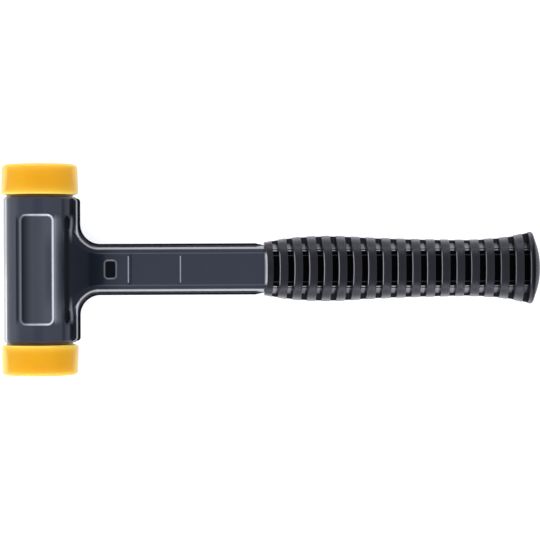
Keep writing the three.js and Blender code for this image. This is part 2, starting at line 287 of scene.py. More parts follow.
def ball_surface():
    """A ball: rings at equal angles from pole to pole, with the poles as rings of no size."""
    rise = np.linspace(0, np.pi, ball_rings)[:, None]
    turn = np.linspace(0, 2 * np.pi, ball_sides, endpoint=False)[None, :]
    x = np.sin(rise) * np.cos(turn)
    z = np.sin(rise) * np.sin(turn)
    y = np.broadcast_to(np.cos(rise), x.shape)
    return ball_radius * ball_size_share * np.stack([x, y, z], axis=-1)


polished_steel = bare_steel_finish("polished_ball_steel", (300, 300, 300))
balls = [(centre + ball_surface(), False, True) for centre in packed_centres()]
steel_shot = make_piece("steel_shot", balls, polished_steel, 80)
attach(steel_shot, "shot")
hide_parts("shot_charge")


# Housing halves
# Two mirrored pressings of steel sheet make the barrel, neck and shank in one. They are welded together
# along a narrow flange, with a bare label panel pressed into the barrel, and painted in glossy slate grey.
shell_low, shell_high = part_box("near_half_shell")
barrel_radius = shell_high.z - seam_z
barrel_end = shell_high.y
seam_gap = shell_low.z - seam_z
tail_end = shell_high.x - head_x
sheet = 1.8 * mm
bore_radius = barrel_radius - sheet
rim_radius = 1.2 * mm

label_half_width = 11.8 * mm
label_half_length = 36.4 * mm
label_corner = 5 * mm
label_depth = 1.35 * mm
label_wall = 2.4 * mm
# Painted highlight: the label's walls and floor are painted pale, more towards the handle.
label_left_highlight = 0.17
label_right_highlight = 0.85
label_floor_highlight = 0.045
# Painted shade, with matt paint, on the label's floor away from the handle and in a line beyond its wall
# there.
label_shade_reach = 0.9
label_edge_offset = 1.0 * mm
label_edge_width = 0.8 * mm
# Painted highlight beside the label, on the side towards the handle.
label_side_highlight = 0.22
label_side_reach = 1.8 * mm
label_side_start = 0.6 * mm

flank_start = math.radians(44.5)
flank_end = math.radians(62)
flank_depth = 0.9 * mm
flank_wall = 1.5 * mm
# Painted highlight along the flank panel's walls and its lower lip.
flank_highlight = 0.26
flank_upper_share = 0.12
flank_wall_share = 0.4
flank_highlight_start = 16 * mm
flank_highlight_reach = 12 * mm
flank_lip_x = 21.6 * mm
flank_lip_width = 0.65 * mm

flange_reach = 26.4 * mm
flange_end = barrel_end - 0.8 * mm
flange_corner = 2.3 * mm
flange_edge_round = 1.3 * mm
flange_edge_share = 0.85
fillet_radius = 13 * mm
head_band = 0.9 * mm
fillet_band = -0.6 * mm
foot_fillet = 0.9 * mm
shank_half_width = 16.75 * mm
shank_flange = 1.2 * mm
shank_top = 10.5 * mm
shoulder_width = 5.2 * mm
shoulder_growth = 0.15
# Painted highlight in the line where the shank's shoulder meets its flat.
shoulder_highlight = 0.05
shoulder_line = 0.4 * mm
foot_softness = 0.12
wall_width_share = 0.48
wall_rise_share = 0.9
wall_edge_share = 0.06
neck_edge_x = 33.3 * mm
neck_fall = math.radians(30)
neck_arc_radius = 22 * mm
neck_shelf_slope = 0.14
neck_meets_barrel = 2.5 * mm
neck_full_to = 23 * mm
neck_gone_at = 31 * mm
flange_chamfer = 5.2 * mm
tail_step = 1.4 * mm

# Painted highlight: a pale line painted along the barrel's foot.
foot_highlight = 0.85
foot_highlight_width = 0.4 * mm
foot_highlight_past = 1.25 * mm
foot_highlight_more = 1.1 * mm
foot_highlight_turn = 30 * mm
foot_highlight_turn_reach = 12 * mm
foot_highlight_start = 19 * mm
foot_highlight_reach = 6 * mm
# Painted shade, with matt paint: the flange, the low wall beside it, the barrel's side beyond the label and
# the neck are painted darker, but not the shank's wall.
flange_shade = 0.97
low_wall = 2.2 * mm
low_wall_fade = 0.6 * mm
low_wall_dies = 6 * mm
barrel_side_x = 20.8 * mm
barrel_side_rise = 1.2 * mm
barrel_side_y = 21 * mm
barrel_side_reach = 5 * mm
neck_shade = 0.74
neck_shade_start = 15.2 * mm
neck_shade_rise = 2.2 * mm
neck_shade_end = 58 * mm
neck_shade_fade = 24 * mm
wall_gloss = 2 * mm
wall_gloss_fade = 1.5 * mm

stamp_middle = 46.6 * mm
stamp_half_width = 4.6 * mm
stamp_half_length = 6.7 * mm
stamp_corner = 3 * mm
stamp_depth = 0.8 * mm
stamp_wall = 1.6 * mm
# Painted highlight on the stamp's walls.
stamp_highlight = 0.16
stamp_margin = 0.6 * mm
rule_places = (58.3 * mm, 92 * mm)
rule_half_length = 8.7 * mm
rule_half_width = 0.3 * mm
rule_height = 0.2 * mm
rule_reach = 1.5 * mm
# Painted highlight along the rules.
rule_highlight = 0.45

inner_angle = math.radians(30)
label_lines_outside = 0.2 * mm
label_lines_inside = 1.6 * mm
label_wall_lines = 1.3
flange_end_run = 0.03 * mm
rim_band = 0.02 * mm
tail_step_run = 0.01 * mm
chamfer_most = 0.99
band_shares = np.array([0, 0.03, 0.08, 0.15, 0.25, 0.37, 0.6, 0.8, 0.92, 1.0])
wall_line_count = 58
wall_crowding = 1.55
wall_lead = 0.4
grip_low, grip_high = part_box("grip_sleeve")
grip_front = grip_low.x - head_x
grip_end = grip_high.x - head_x
fit_gap = 0.3 * mm
shank_end = grip_front + shoulder_width
chamfer_end = grip_front - fit_gap
neck_arc_end = neck_edge_x + neck_arc_radius * math.sin(neck_fall)
fillet_centre_x = flange_reach + fillet_radius
fillet_centre_y = shank_half_width + fillet_radius
barrel_foot = math.sqrt(barrel_radius ** 2 - sheet ** 2)
label_angle = math.asin(label_half_width / barrel_radius)


def ease(share):
    """3 s^2 - 2 s^3 of a share held between 0 and 1."""
    held = np.clip(share, 0, 1)
    return held * held * (3 - 2 * held)


def bell(away, width):
    """A bell over a distance away from its middle: e to the power of -(away / width)^2."""
    return np.exp(-(away / width) ** 2)


def steps_between(*marks):
    """Places along a line: each mark is a place and the number of steps that lead on to the next mark."""
    parts = []
    for (start, count), (end, _) in zip(marks[:-1], marks[1:]):
        parts.append(np.linspace(start, end, count, endpoint=False))
    parts.append(np.array([marks[-1][0]]))
    return np.concatenate(parts)


def soft_max(first, second, reach):
    """The larger of two heights, with a fillet where they differ by less than a reach."""
    near = np.maximum(reach - np.abs(first - second), 0) / reach
    return np.maximum(first, second) + near * near * reach / 4


def panel_share(across, along, half_width, half_length, corner, wall):
    """Share of a pressed panel's depth: 0 outside its rounded rectangle and 1 past its sloping wall.
    The distance inside the rectangle, divided by the wall's width, goes through ease."""
    past_x = np.abs(across) - (half_width - corner)
    past_y = np.abs(along) - (half_length - corner)
    outside = np.hypot(np.maximum(past_x, 0), np.maximum(past_y, 0))
    distance = outside + np.minimum(np.maximum(past_x, past_y), 0) - corner
    return ease(-distance / wall)


def rim_drawn_in(y):
    """The barrel's radius along its axis: full, then drawn in by a quarter round at each rim."""
    past = np.clip((np.abs(y) - (barrel_end - rim_radius)) / rim_radius, 0, 1)
    return barrel_radius - rim_radius * (1 - np.sqrt(1 - past * past))


def label_pressed(angle, y):
    """Depth of the label panel at an angle round the barrel from its crown."""
    half_arc = barrel_radius * label_angle
    share = panel_share(barrel_radius * angle, y, half_arc, label_half_length, label_corner, label_wall)
    return label_depth * share


def flank_pressed(x, y):
    """Depth of the long panel on the flank of the barrel that looks towards the handle."""
    angle = np.arcsin(np.clip(x / barrel_radius, -1, 1))
    middle = (flank_start + flank_end) / 2
    half_arc = barrel_radius * (flank_end - flank_start) / 2
    share = panel_share(
        barrel_radius * (angle - middle), y, half_arc, label_half_length, label_corner, flank_wall)
    return flank_depth * share


def neck_top(x):
    """Height of the neck and shank along the middle: a sloping shelf beside the barrel, an arc that falls
    from its edge, and the flat shank that the arc runs into."""
    along_arc = np.clip(neck_arc_end - x, 0, neck_arc_end - neck_edge_x)
    arc = neck_arc_radius - np.sqrt(neck_arc_radius ** 2 - along_arc ** 2)
    shelf = neck_shelf_slope * np.maximum(neck_edge_x - x, 0)
    return np.where(x > shank_end, shank_top - tail_step, shank_top + arc + shelf)


def wall_share(share):
    """Rise of a pressed wall: steep from a small fillet at its foot, a tight edge, and a gentle slope on to
    the flat."""
    held = np.clip(share, 0, 1)
    steep = wall_rise_share / wall_width_share * held ** 3 / (held ** 2 + foot_softness ** 2)
    gentle = 1 - (1 - wall_rise_share) * (1 - held) / (1 - wall_width_share)
    return np.clip(-soft_max(-steep, -gentle, wall_edge_share), 0, 1)


def stamp_pressed(x, y):
    """Depth of the bare stamped panel on the shank's flat."""
    share = panel_share(
        x - stamp_middle, y, stamp_half_width, stamp_half_length, stamp_corner, stamp_wall)
    return stamp_depth * share


def rule_share(x, y):
    """Share of the height of the two thin raised rules on the shank's flat: a bell across each rule."""
    length = ease((rule_half_length - np.abs(y)) / rule_half_width)
    bells = [bell(x - place, rule_half_width) for place in rule_places]
    return length * sum(bells)


def beside_label(y):
    """1 between the two ends of the label panel, falling to 0 at its corners."""
    return ease((label_half_length - np.abs(y)) / label_corner)


def on_wall(depth_share):
    """1 half way down the wall of a pressed panel and 0 above and below it."""
    return 4 * depth_share * (1 - depth_share)


def highlight_beside_label(x, y):
    """How much highlight is painted pale beside the label, on the side towards the handle: it starts at the
    label's edge and dies away from it."""
    past = x - label_half_width
    rub = np.exp(-np.maximum(past, 0) / label_side_reach) * ease(1 + past / label_side_start)
    return label_side_highlight * rub * beside_label(y)


def off_neck(y):
    """0 where the neck stands at its full height and 1 where it has faded out along the barrel."""
    return 1 - ease((neck_gone_at - np.abs(y)) / (neck_gone_at - neck_full_to))


def painted_highlight_off_crown(x, y, past_foot):
    """How much highlight is painted pale into the paint off the crown: along the rules, the walls of the
    stamp and of the flank panel and that panel's lower lip, beside the label, along the barrel's foot and in
    the line where the shank's shoulder meets its flat."""
    angle = np.arcsin(np.clip(x / barrel_radius, -1, 1))
    lower_side = ease((angle - flank_start) / (flank_end - flank_start))
    side_share = flank_upper_share + (1 - flank_upper_share) * lower_side
    from_neck = ease((np.abs(y) - flank_highlight_start) / flank_highlight_reach)
    flank = on_wall(flank_pressed(x, y) / flank_depth) * side_share
    lip = bell(x - flank_lip_x, flank_lip_width) * beside_label(y)
    flank = flank_highlight * from_neck * np.maximum(flank_wall_share * flank, lip)
    in_fillet = ease((foot_highlight_turn - np.abs(y)) / foot_highlight_turn_reach)
    line_past = foot_highlight_past + foot_highlight_more * in_fillet
    foot = foot_highlight * bell(past_foot - line_past, foot_highlight_width)
    foot = foot * ease((np.abs(y) - foot_highlight_start) / foot_highlight_reach)
    stamp = stamp_highlight * on_wall(stamp_pressed(x, y) / stamp_depth)
    shoulder = shoulder_highlight * bell(past_foot - shoulder_width, shoulder_line)
    shoulder = shoulder * ease((x - neck_edge_x) / (neck_arc_end - neck_edge_x))
    return rule_share(x, y) * rule_highlight + flank + foot + stamp + shoulder + highlight_beside_label(x, y)


def shade_and_matt_off_crown(x, y, past_foot):
    """How much painted shade, with matt paint, lies off the crown: in the stamp and the flank panel, on the
    flange, on what lies next to it beside the barrel and in the fillet, and on the flank and the neck between
    the label's two ends, but not on the shank's wall that rises from the flange."""
    near = ease((x - neck_shade_start) / neck_shade_rise) * ease((neck_shade_end - x) / neck_shade_fade)
    off_wall = ease((past_foot - wall_gloss) / wall_gloss_fade)
    neck = neck_shade * near * off_wall * beside_label(y)
    stamp = stamp_pressed(x, y) / stamp_depth
    flank = flank_pressed(x, y) / flank_depth
    low = ease((low_wall - past_foot) / low_wall_fade) * ease((fillet_centre_x - x) / low_wall_dies)
    side = ease((x - barrel_side_x) / barrel_side_rise)
    side = side * ease((np.abs(y) - barrel_side_y) / barrel_side_reach)
    flange = flange_shade * np.maximum.reduce([past_foot == 0, low, side])
    return np.maximum.reduce([neck, stamp, flank, flange])


def crown_look(angle, x, y):
    """The painted highlight and the painted shade, with matt paint, round the barrel's crown.
    The label's wall and floor carry more painted highlight towards the handle, and what lies beside it too.
    The floor carries painted shade away from the handle, and so does a line beyond the wall there."""
    across = angle / label_angle + 1
    pressed = label_pressed(angle, y) / label_depth
    to_right = ease(across / 2)
    painted_highlight = on_wall(pressed) ** 2 * (label_left_highlight + (label_right_highlight - label_left_highlight) * to_right)
    painted_highlight = painted_highlight + label_floor_highlight * to_right * pressed + highlight_beside_label(x, y)
    to_left = ease(1 - across / label_shade_reach)
    # Painted shade: a dark line beyond the label's wall away from the handle.
    left_of_edge = (angle + label_angle) * barrel_radius + label_edge_offset
    edge = bell(left_of_edge, label_edge_width) * beside_label(y)
    return np.stack([painted_highlight, np.maximum(to_left * pressed, edge)], axis=-1)


def outside_height(x, y, past_foot, edge_share):
    """Height of the pressed sheet's outside over the seam.
    The barrel and the flange meet in a fillet. The neck's wall rises from its foot by wall_share of what
    lies between them and neck_top, and fades out over the barrel to both sides."""
    radius = rim_drawn_in(y) - flank_pressed(x, y)
    barrel = np.sqrt(np.maximum(radius ** 2 - x ** 2, 0))
    edge = 1 - np.clip(edge_share / flange_edge_share, 0, 1)
    flange = sheet - flange_edge_round * (1 - np.sqrt(1 - edge ** 2))
    flange = np.where(np.abs(y) > flange_end, seam_gap, flange)
    base = soft_max(barrel, flange, foot_fillet)
    top = neck_top(x)
    rise = np.maximum(soft_max(top, base, neck_meets_barrel) - base, 0)
    shoulder = shoulder_width + shoulder_growth * (top - shank_top)
    raised = base + rise * wall_share(past_foot / shoulder) * (1 - off_neck(y))
    marked = raised - stamp_pressed(x, y) + rule_height * rule_share(x, y)
    return np.maximum(marked, seam_gap)


def inside_height(x, y, past_foot):
    """Height of the sheet's inside: the barrel's bore, and the hollow of the neck a sheet below its
    outside."""
    bore = np.sqrt(np.maximum(bore_radius ** 2 - x ** 2, 0))
    top = neck_top(x)
    shoulder = shoulder_width + shoulder_growth * (top - shank_top)
    hollow = (top - sheet) * wall_share((past_foot - sheet) / shoulder) * (1 - off_neck(y))
    hollow = np.where(x > barrel_radius, hollow, 0)
    return np.maximum(np.maximum(bore, hollow), seam_gap)


def flange_line():
    """The flange's edge on one side, from the barrel's end to the tail's.
    Each place has its edge point, the direction inwards, the flange's width there and the point where the
    line across from it ends: on the barrel at inner_angle, or on the middle of the shank."""
    head_y = steps_between(
        (barrel_end, 8), (barrel_end - rim_radius, 2), (flange_end + flange_end_run, 1), (flange_end, 9),
        (flange_end - flange_corner, 6), (label_half_length + label_lines_outside, 16),
        (label_half_length - label_lines_inside, 8), (fillet_centre_y, 1))[:-1]
    corner_y = np.clip(head_y - (flange_end - flange_corner), 0, flange_corner)
    head_edge = flange_reach - flange_corner + np.sqrt(flange_corner ** 2 - corner_y ** 2)
    foot = barrel_foot - (barrel_radius - rim_drawn_in(head_y))
    head_edge = np.where(head_y > flange_end, foot + rim_band, head_edge)
    head = np.stack([
        head_edge, head_y, np.full_like(head_y, -1), np.zeros_like(head_y),
        np.minimum(head_edge - foot, head_band),
        rim_drawn_in(head_y) * math.sin(inner_angle), head_y], axis=-1)

    turn = np.linspace(0, np.pi / 2, 49)
    half = np.pi / 4
    band = head_band + (shank_flange - head_band) * ease(turn / (np.pi / 2))
    band = band + fillet_band * np.sin(2 * turn) ** 2
    inner_x = barrel_radius * math.sin(inner_angle)
    end_x = inner_x + (fillet_centre_x - inner_x) * np.clip((turn - half) / half, 0, 1)
    end_y = fillet_centre_y * np.clip(1 - turn / half, 0, 1)
    fillet = np.stack([
        fillet_centre_x - fillet_radius * np.cos(turn), fillet_centre_y - fillet_radius * np.sin(turn),
        -np.cos(turn), -np.sin(turn), band, end_x, end_y], axis=-1)

    stamp_reach = stamp_half_width + stamp_margin
    shank_x = steps_between(
        (fillet_centre_x, 2), (stamp_middle - stamp_reach, 34), (stamp_middle + stamp_reach, 3),
        (rule_places[0] - rule_reach, 16), (rule_places[0] + rule_reach, 12),
        (rule_places[1] - rule_reach, 16), (rule_places[1] + rule_reach, 18),
        (chamfer_end - flange_chamfer, 6), (chamfer_end, 2), (shank_end, 1),
        (shank_end + tail_step_run, 12), (tail_end, 1))[1:]
    chamfered = np.clip((shank_x - (chamfer_end - flange_chamfer)) / flange_chamfer, 0, chamfer_most)
    foot_y = shank_half_width - shank_flange - np.where(shank_x > shank_end, tail_step, 0)
    width = shank_flange * (1 - chamfered)
    zero = np.zeros_like(shank_x)
    shank = np.stack([shank_x, foot_y + width, zero, zero - 1, width, shank_x, zero], axis=-1)
    return np.concatenate([head, fillet, shank])


def housing_grids(side):
    """Grids of one half of the housing, and how much painted highlight and painted shade each point carries.
    Lines across run from the flange's edge over its band to the foot of the wall, then bend inwards to
    where they end. Outside and inside lie over the same places."""
    line = flange_line()
    edge_x, edge_y, inward_x, inward_y, band, end_x, end_y = line.T[:, :, None]
    wall_steps = np.linspace(0, 1, wall_line_count + 1)[1:] ** wall_crowding
    foot_x = edge_x + inward_x * band
    foot_y = edge_y + inward_y * band
    length = np.hypot(end_x - foot_x, end_y - foot_y)
    lead = wall_lead * length
    ahead = (1 - wall_steps) ** 2
    bend = 2 * wall_steps * (1 - wall_steps)
    arrive = wall_steps ** 2
    wall_x = ahead * foot_x + bend * (foot_x + inward_x * lead) + arrive * end_x
    wall_y = ahead * foot_y + bend * (foot_y + inward_y * lead) + arrive * end_y
    x = np.concatenate([edge_x + inward_x * band * band_shares, wall_x], axis=1)
    y = np.concatenate([edge_y + inward_y * band * band_shares, wall_y], axis=1)
    past_foot = np.hypot(x - foot_x, y - foot_y)
    past_foot[:, :len(band_shares)] = 0
    edge_share = np.ones_like(x)
    edge_share[:, :len(band_shares)] = band_shares
    strip_top = np.stack([x, y, outside_height(x, y, past_foot, edge_share)], axis=-1)
    strip_low = np.stack([x, y, inside_height(x, y, past_foot)], axis=-1)

    line_end_y = line[:, -1]
    on_barrel = line_end_y[line_end_y > 0]
    barrel_y = np.concatenate([on_barrel, [0], -on_barrel[::-1]])[None, :]
    wall_angle = label_wall_lines * label_wall / barrel_radius
    bore_angle = math.asin(bore_radius / barrel_radius)
    angle = steps_between(
        (inner_angle, 1), (label_angle, 18), (label_angle - wall_angle, 22),
        (wall_angle - label_angle, 18), (-label_angle, 26), (-bore_angle, 18), (-math.pi / 2, 1))[:, None]
    radius = rim_drawn_in(barrel_y) - label_pressed(angle, barrel_y)
    barrel_x = rim_drawn_in(barrel_y) * np.sin(angle)
    barrel_top = np.maximum(radius * np.cos(angle), seam_gap)
    pressed_x = radius * np.sin(angle)
    plain_y = np.broadcast_to(barrel_y, barrel_x.shape)
    far = np.zeros_like(barrel_x)
    crown_top = np.stack([pressed_x, plain_y, barrel_top], axis=-1)
    crown_low = np.stack([barrel_x, plain_y, inside_height(barrel_x, plain_y, far)], axis=-1)

    top_look = crown_look(angle, barrel_x, barrel_y)
    strip_look = np.stack([painted_highlight_off_crown(x, y, past_foot), shade_and_matt_off_crown(x, y, past_foot)], axis=-1)
    grids = [np.concatenate([crown_top, crown_low[::-1]])]
    looks = [np.concatenate([top_look, 0 * top_look])]
    for end in (0, -1):
        grids.append(np.stack([crown_top[:, end], crown_low[:, end]]))
        looks.append(np.zeros((*grids[-1].shape[:2], 2)))
    for half in (1, -1):
        flip = np.array([1, half, 1])
        grids.append(np.concatenate([strip_top[:, ::-1], strip_low], axis=1) * flip)
        looks.append(np.concatenate([strip_look[:, ::-1], 0 * strip_look], axis=1))
        for end in (0, -1):
            grids.append(np.stack([strip_top[end], strip_low[end]]) * flip)
            looks.append(np.zeros((*grids[-1].shape[:2], 2)))
    painted_highlight, painted_shade_matt = np.concatenate([look.reshape(-1, 2) for look in looks]).T
    placed = [grid * np.array([1, 1, side]) + np.array([head_x, 0, seam_z]) for grid in grids]
    return [(grid, False, False) for grid in placed], {"painted_highlight": painted_highlight, "painted_shade_matt": painted_shade_matt}


def slate_paint_finish():
    """Glossy slate enamel: orange peel in the coat, fine grain in the colour and a faint change of tone.
    Painted highlight makes the paint pale, and painted shade makes it darker, rougher and without its coat."""
    finish = Finish(bpy.data.materials.new("slate_enamel"))
    where = finish.place()
    tone = finish.noise(where, 45.0, 3.0)
    grain = finish.noise(where, 5200.0, 1.0)
    peel = finish.noise(where, 900.0, 1.5)
    painted_highlight = finish.share("painted_highlight")
    painted_shade_matt = finish.share("painted_shade_matt")
    shade = 0.65 * tone + 0.35 * grain
    glossy = finish.tint(shade, (0.008, 0.0105, 0.017), (0.014, 0.0175, 0.027))
    # Painted shade: the paint turns near black where the mesh carries its share of painted shade.
    enamel = finish.tint(painted_shade_matt, glossy, (0.0025, 0.003, 0.0045))
    bump = finish.add("Bump", sockets={"Strength": 0.05, "Distance": 0.00015, "Height": peel})
    # Painted highlight: the paint turns pale grey where the mesh carries its share of painted highlight.
    return finish.surface({
        "Base Color": finish.tint(painted_highlight, enamel, (0.62, 0.63, 0.65)),
        "Roughness": 0.3 + 0.12 * grain + 0.3 * painted_shade_matt,
        "IOR": 1.5,
        "Specular IOR Level": 0.06,
        "Coat Weight": (1 - painted_shade_matt) * (0.85 + 0.15 * tone),
        "Coat Roughness": 0.08,
        "Coat IOR": 1.55,
        "Normal": bump,
    })


slate_paint = slate_paint_finish()
for half_name, half_node, side in (
        ("near_pressed_half", "near_half_shell", 1), ("far_pressed_half", "far_half_shell", -1)):
    half_grids, half_shares = housing_grids(side)
    pressed_half = make_piece(half_name, half_grids, slate_paint, 50, half_shares)
    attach(pressed_half, "housing")
    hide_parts(half_node)


# Striking faces
# Each face is one cast block of amber polyurethane, slightly cloudy, with a pale glow painted into its rim
# and sides.
# A spigot under its lip presses into the barrel, and a worn face pulls out.
lip_radius = 1.8 * mm
corner_radius = 2.6 * mm
face_taper = 0.35 * mm
spigot_chamfer = 1.2 * mm
face_height = 19.7 * mm
# Painted glow: the rim and the two sides across the handle are painted paler.
edge_glow = 1.5 * mm
side_glow = 0.46
side_start = 0.75
side_shift = 0.08
side_slant = 0.09
side_rise = 0.13
# Painted shade: the spigot is painted dark brown in the open groove under the lip.
spigot_shade_reach = 2.2 * mm
spigot_shade_fade = 0.6 * mm
side_lines = 12
flat_shares = np.array([0.86, 0.82, 0.76, 0.66, 0.4, 0])
face_radius = (face_high.z - face_low.z) / 2
spigot_radius = bore_radius - fit_gap


def quarter_round(centre_r, centre_y, radius, start, count=9):
    """Radii and places of a quarter circle that begins at an angle and turns anticlockwise."""
    angle = start + np.linspace(0, np.pi / 2, count)
    return np.stack([centre_r + radius * np.cos(angle), centre_y + radius * np.sin(angle)])


def face_profile(low_y, top_y):
    """The block from the spigot's end to the flat that strikes: straight lines joined by quarter rounds.
    The third row is how far a pale glow painted into the colour reaches from an edge where the block is
    narrow, and the fourth is how far shade is painted dark brown on the spigot in the open groove under the
    lip."""
    underside = top_y - face_height
    crown = face_radius - face_taper
    lip = quarter_round(face_radius - lip_radius, underside + lip_radius, lip_radius, -np.pi / 2)
    corner = quarter_round(crown - corner_radius, top_y - corner_radius, corner_radius, 0)
    spigot_shade_end = underside - spigot_shade_reach
    spigot = np.array([
        [0, spigot_radius - spigot_chamfer, spigot_radius, spigot_radius, spigot_radius, spigot_radius],
        [low_y, low_y, low_y + spigot_chamfer, spigot_shade_end - spigot_shade_fade, spigot_shade_end, underside]])
    side = np.linspace(lip[:, -1], corner[:, 0], side_lines, axis=1)
    flat = np.stack([flat_shares * crown, np.full(len(flat_shares), top_y)])
    profile = np.concatenate([spigot, lip, side[:, 1:-1], corner, flat], axis=1)
    from_corner = np.maximum(np.abs(profile[1] - top_y), crown - profile[0])
    from_edge = np.minimum(np.abs(profile[1] - underside), from_corner)
    on_spigot = np.arange(profile.shape[1]) < spigot.shape[1]
    spigot_shade = on_spigot * ease((profile[1] - spigot_shade_end + spigot_shade_fade) / spigot_shade_fade)
    painted_glow = np.where(on_spigot, 0, np.exp(-from_edge / edge_glow))
    return profile[0], profile[1], painted_glow, spigot_shade


def side_light(points, top_y):
    """How much glow is painted pale into the block's two sides across the handle, where the block is narrow:
    it begins at a share of the radius from the head's axis, a larger one towards the handle and away from the
    flat that strikes."""
    across = (points[..., 0] - head_x) / face_radius
    below = np.abs(np.abs(points[..., 1]) - top_y) / face_height
    start = side_start + side_shift * across + side_slant * below
    return side_glow * ease((np.abs(across) - start) / side_rise)


def amber_finish():
    """Cast polyurethane: deep amber that scatters light inside, faint clouds and a softly moulded skin."""
    finish = Finish(bpy.data.materials.new("amber_polyurethane"))
    where = finish.place()
    cloud = finish.noise(where, 60.0, 3.0)
    skin = finish.noise(where, 1400.0, 2.0)
    bump = finish.add("Bump", sockets={"Strength": 0.06, "Distance": 0.0002, "Height": skin})
    painted_glow = finish.share("painted_glow")
    spigot_shade = finish.share("spigot_shade")
    deep = finish.tint(cloud, (0.63, 0.295, 0.002), (0.69, 0.345, 0.004))
    # Painted shade: dark brown on the spigot in the open groove under the lip.
    body = finish.tint(spigot_shade, deep, (0.17, 0.055, 0.003))
    # Painted glow: pale amber towards the rim and the two sides.
    return finish.surface({
        "Base Color": finish.tint(painted_glow, body, (0.97, 0.68, 0.13)),
        "Roughness": 0.3 + 0.1 * skin,
        "IOR": 1.5,
        "Specular IOR Level": 0.18,
        "Subsurface Weight": 1.0,
        "Subsurface Radius": (1.0, 0.6, 0.06),
        "Subsurface Scale": 0.01,
        "Normal": bump,
    })


amber = amber_finish()
for face_node, body, facing in (
        ("upper_striking_face", "upper_face", 1), ("lower_striking_face", "lower_face", -1)):
    radii, places, painted_glow, spigot_shade = face_profile(face_low.y, face_high.y)
    block_points = turned(radii, facing * places)
    on_spigot = np.abs(block_points[..., 1]) < face_high.y - face_height
    # Painted glow on the two sides across the handle.
    painted_glow = np.maximum(painted_glow, np.where(on_spigot, 0, side_light(block_points, face_high.y)))
    shares = {"painted_glow": painted_glow.ravel(), "spigot_shade": np.tile(spigot_shade, len(block_points))}
    block = make_piece(body + "_block", [(block_points, True, False)], amber, 35, shares)
    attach(block, body)
    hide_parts(face_node)


# Grip
# One black rubber sleeve is moulded and pushed over the tail of the shank. Deep pockets between its ribs
# end in bevels and a thin web at each side, and a domed butt closes it.
grip_flatness = 0.86
front_flatness = 0.7
flatness_reach = 22 * mm
front_squareness = 0.8
groove_count = 18
groove_pitch = 9.5 * mm
groove_width = 3.9 * mm
first_groove = grip_front + 8.45 * mm
rib_chamfer = 0.65 * mm
rib_chamfer_drop = 0.52 * mm
side_bevel_share = 0.3
groove_draft = 0.2 * mm
shade_start = 0.3
shade_full = 0.5
groove_share = 0.98
rib_lean = 0.03
pocket_half_width = 11.2 * mm
pocket_step_half_width = 8.5 * mm
pocket_step = 0.5 * mm
step_reach = 0.25 * mm
pocket_floor = 10.4 * mm
pocket_margin = 0.1 * mm
floor_shares = np.array([1, 0.9, 0.8, 0.78, 0.76, 0.74, 0.72, 0.5, 0.25, 0])
lip_height = 1.2 * mm
lip_width = 0.8 * mm
lip_fall = 0.5 * mm
lip_step = 0.7 * mm
lip_gap = 0.6 * mm
lip_gap_depth = 1.0 * mm
gap_slope = 0.05
gap_near = 0.01
gap_far = 0.97
ridge_start = 0.1
bevel_width = 5.2 * mm
bevel_drop = 9 * mm
web_depth = 0.12 * mm
# Painted highlights on the ribs' edges towards the head, their sides, the pockets' steps, the lit bevels and
# ridges and the front edge, fading towards the butt.
rib_edge_highlight = 0.6
rib_edge_highlight_fade = 3 * mm
side_sheen = 0.12
step_shine = 0.25
# Painted shade, black and matt, on the pockets' steps.
step_matt_shade = 0.6
bevel_shine = 0.36
ridge_shine = 0.65
front_shine = 0.9
front_shine_fade = 4 * mm
front_edge = 0.7 * mm
front_places = (front_edge, 2.2 * mm, 4.0 * mm)
butt_corner = 2.6 * mm
butt_dome = 4.4 * mm
# Painted shade, black and matt, on the butt: more where it faces up or down, less at its sides.
butt_matt_shade = 0.85
butt_side_matt_shade = 0.3
shine_fades_from = grip_front + 90 * mm
shine_fade = 80 * mm
shine_loss = 0.45
front_bow = 2.0 * mm
front_bow_reach = 6 * mm
mouth_bow_share = 0.25
hole_flat_steps = 5
rib_bow = 1.5 * mm
bow_fades_from = grip_front + 50 * mm
bow_end = grip_front + 95 * mm

side_places = np.array([1.4, 18, 43.2, 75.6, 108, 142.2, 160.4, 173.7]) * mm + grip_front
side_widths = np.array([17.5, 20.1, 21.4, 19.9, 18.9, 18.9, 20.7, 23.7]) * mm


def grip_half_width(x):
    """Half width of the grip along its length: a cubic between each two places, with the slope at a place
    taken from its neighbours on both sides."""
    slopes = np.gradient(side_widths, side_places)
    index = np.clip(np.searchsorted(side_places, x) - 1, 0, len(side_places) - 2)
    span = side_places[index + 1] - side_places[index]
    share = np.clip((x - side_places[index]) / span, 0, 1)
    change = side_widths[index + 1] - side_widths[index]
    start = slopes[index] * span
    end = slopes[index + 1] * span
    return (side_widths[index] + start * share + (3 * change - 2 * start - end) * share ** 2
            + (start + end - 2 * change) * share ** 3)


def grip_half_thickness(x):
    """Half thickness along the grip: a steady share of its half width, less near the front."""
    near = np.clip(1 - (x - grip_front) / flatness_reach, 0, 1)
    return grip_half_width(x) * (grip_flatness - (grip_flatness - front_flatness) * near ** 2)


def grip_power(x):
    """Power of the grip's section along its length: an ellipse's 2, and more near the front, where the
    section is squarer to go round the shank."""
    return 2 + front_squareness * np.clip(1 - (x - grip_front) / flatness_reach, 0, 1) ** 2


